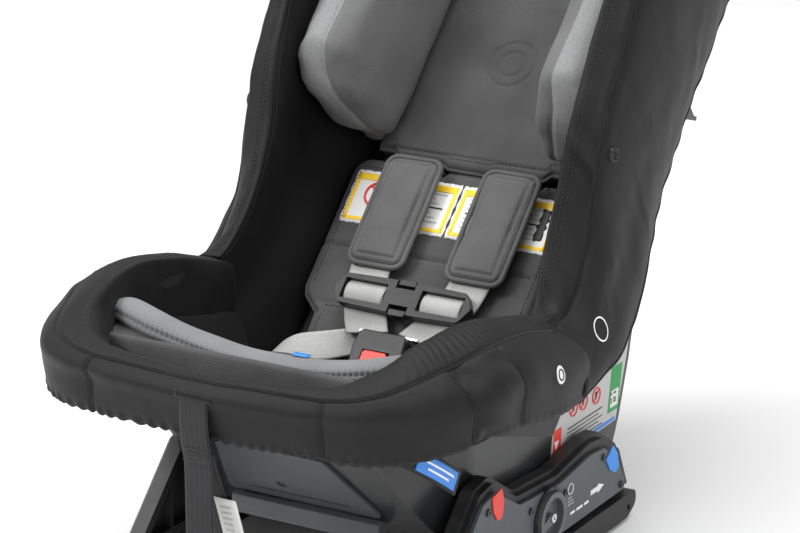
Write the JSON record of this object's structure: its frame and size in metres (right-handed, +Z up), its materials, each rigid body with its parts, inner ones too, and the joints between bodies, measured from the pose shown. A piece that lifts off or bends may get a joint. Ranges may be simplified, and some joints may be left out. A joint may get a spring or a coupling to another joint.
{
  "type": "convertible car seat",
  "caption": "Reclining child car seat: padded bucket with wings, five-point harness and sliding head rest on a low base with side pods and lock knobs.",
  "frame": {"origin": "centre of the bounding box, on the floor under the base", "axes": "+Z up, the child faces -Y, +X to the side of the right-hand pod as seen from the front"},
  "size_m": [0.4138, 0.7336, 0.6226],
  "materials": {
    "black_plastic": "fine matte grain",
    "shell_plastic": "satin moulded",
    "slate_plastic": "smooth satin",
    "harness_plastic": "fine grain",
    "red_plastic": "satin",
    "blue_plastic": "satin",
    "steel": "brushed",
    "bolt": "polished",
    "cover": "black woven polyester",
    "dark_cloth": "charcoal knit",
    "light_cloth": "light grey twill",
    "webbing": "pale grey herringbone webbing",
    "black_webbing": "black webbing",
    "foam": "moulded foam",
    "label": "matt film",
    "foot_rubber": "ribbed"
  },
  "bodies": {
    "base": {"base_tray": "black_plastic", "pod_left": "black_plastic", "pod_right": "black_plastic", "side_plate_left": "slate_plastic", "side_plate_right": "slate_plastic", "skirt_left": "shell_plastic", "skirt_right": "shell_plastic", "foot_pads": "foot_rubber", "plate_screws": "black_plastic", "front_belt_guides": "red_plastic", "rear_belt_guides": "blue_plastic", "knob_bezels": "black_plastic", "recline_lock_bar": "steel"},
    "lock_knob_left": {"knob_left": "shell_plastic", "knob_bolt_left": "bolt"},
    "lock_knob_right": {"knob_right": "shell_plastic", "knob_bolt_right": "bolt"},
    "seat": {"seat_pan": "black_plastic", "lower_shell": "shell_plastic", "belly_panel": "slate_plastic", "recline_runners": "black_plastic", "side_labels": "label", "wing_foam_left": "foam", "wing_foam_right": "foam", "wing_cover_left": "cover", "wing_cover_right": "cover", "rim_cover": "cover", "crown_cover": "cover", "back_pad": "dark_cloth", "back_lining": "cover", "seat_cushion": "light_cloth", "buckle_strap": "webbing", "lap_strap_left": "webbing", "lap_strap_right": "webbing", "hip_plates": "steel", "shoulder_strap_left": "webbing", "shoulder_strap_right": "webbing", "buckle_body": "harness_plastic", "buckle_tongues": "steel", "snap_studs": "black_plastic", "adjuster_bezel": "steel", "adjuster_strap": "black_webbing", "splitter_plate": "steel", "rear_webbing": "webbing", "guide_rods": "steel"},
    "head_rest": {"headrest_core": "black_plastic", "head_pad": "dark_cloth", "head_pillow_left": "light_cloth", "head_pillow_right": "light_cloth"},
    "head_handle": {"headrest_handle": "shell_plastic"},
    "clip": {"chest_clip": "harness_plastic"},
    "clip_top": {"clip_tab_top": "harness_plastic"},
    "clip_bottom": {"clip_tab_bottom": "harness_plastic"},
    "pad_left": {"shoulder_pad_left": "light_cloth"},
    "pad_right": {"shoulder_pad_right": "light_cloth"},
    "button": {"buckle_button": "red_plastic"},
    "adjuster": {"adjuster_lever": "steel"},
    "recline_grip": {"recline_lever": "slate_plastic"}
  },
  "joints": [
    {"name": "recline", "type": "hinge", "parent": "base", "child": "seat", "pos_m": [0, -0.05539, 0.158], "axis": [1, 0, 0], "range_deg": [0, 14]},
    {"name": "knob_left_turn", "type": "hinge", "parent": "base", "child": "lock_knob_left", "pos_m": [-0.148, -0.07539, 0.054], "axis": [-1, 0, 0], "range_deg": [0, 90]},
    {"name": "knob_right_turn", "type": "hinge", "parent": "base", "child": "lock_knob_right", "pos_m": [0.148, -0.07539, 0.054], "axis": [1, 0, 0], "range_deg": [0, 90]},
    {"name": "head_rise", "type": "slide", "parent": "seat", "child": "head_rest", "axis": [0, 0.7071, 0.7071], "range_m": [0, 0.085]},
    {"name": "head_handle_pull", "type": "slide", "parent": "head_rest", "child": "head_handle", "axis": [0, 0.7071, 0.7071], "range_m": [0, 0.006], "stiffness_N_per_m": 400, "springref_m": -0.003},
    {"name": "clip_slide", "type": "slide", "parent": "seat", "child": "clip", "axis": [0, 0.7071, 0.7071], "range_m": [-0.014, 0.004]},
    {"name": "clip_top_squeeze", "type": "slide", "parent": "clip", "child": "clip_top", "axis": [0, -0.7071, -0.7071], "range_m": [0, 0.003], "stiffness_N_per_m": 300, "springref_m": -0.002},
    {"name": "clip_bottom_squeeze", "type": "slide", "parent": "clip", "child": "clip_bottom", "axis": [0, 0.7071, 0.7071], "range_m": [0, 0.003], "stiffness_N_per_m": 300, "springref_m": -0.002},
    {"name": "pad_left_slide", "type": "slide", "parent": "seat", "child": "pad_left", "axis": [0, 0.7071, 0.7071], "range_m": [-0.01, 0.003]},
    {"name": "pad_right_slide", "type": "slide", "parent": "seat", "child": "pad_right", "axis": [0, 0.7071, 0.7071], "range_m": [-0.01, 0.003]},
    {"name": "buckle_press", "type": "slide", "parent": "seat", "child": "button", "axis": [0, 0.7071, -0.7071], "range_m": [0, 0.003], "stiffness_N_per_m": 1500, "springref_m": -0.002},
    {"name": "adjuster_press", "type": "hinge", "parent": "seat", "child": "adjuster", "pos_m": [0, -0.33239, 0.2177], "axis": [1, 0, 0], "range_deg": [0, 10], "stiffness_Nm_per_rad": 0.5, "springref_deg": -5.73},
    {"name": "recline_pull", "type": "slide", "parent": "seat", "child": "recline_grip", "axis": [0, -1, 0], "range_m": [0, 0.008], "stiffness_N_per_m": 500, "springref_m": -0.003}
  ]
}
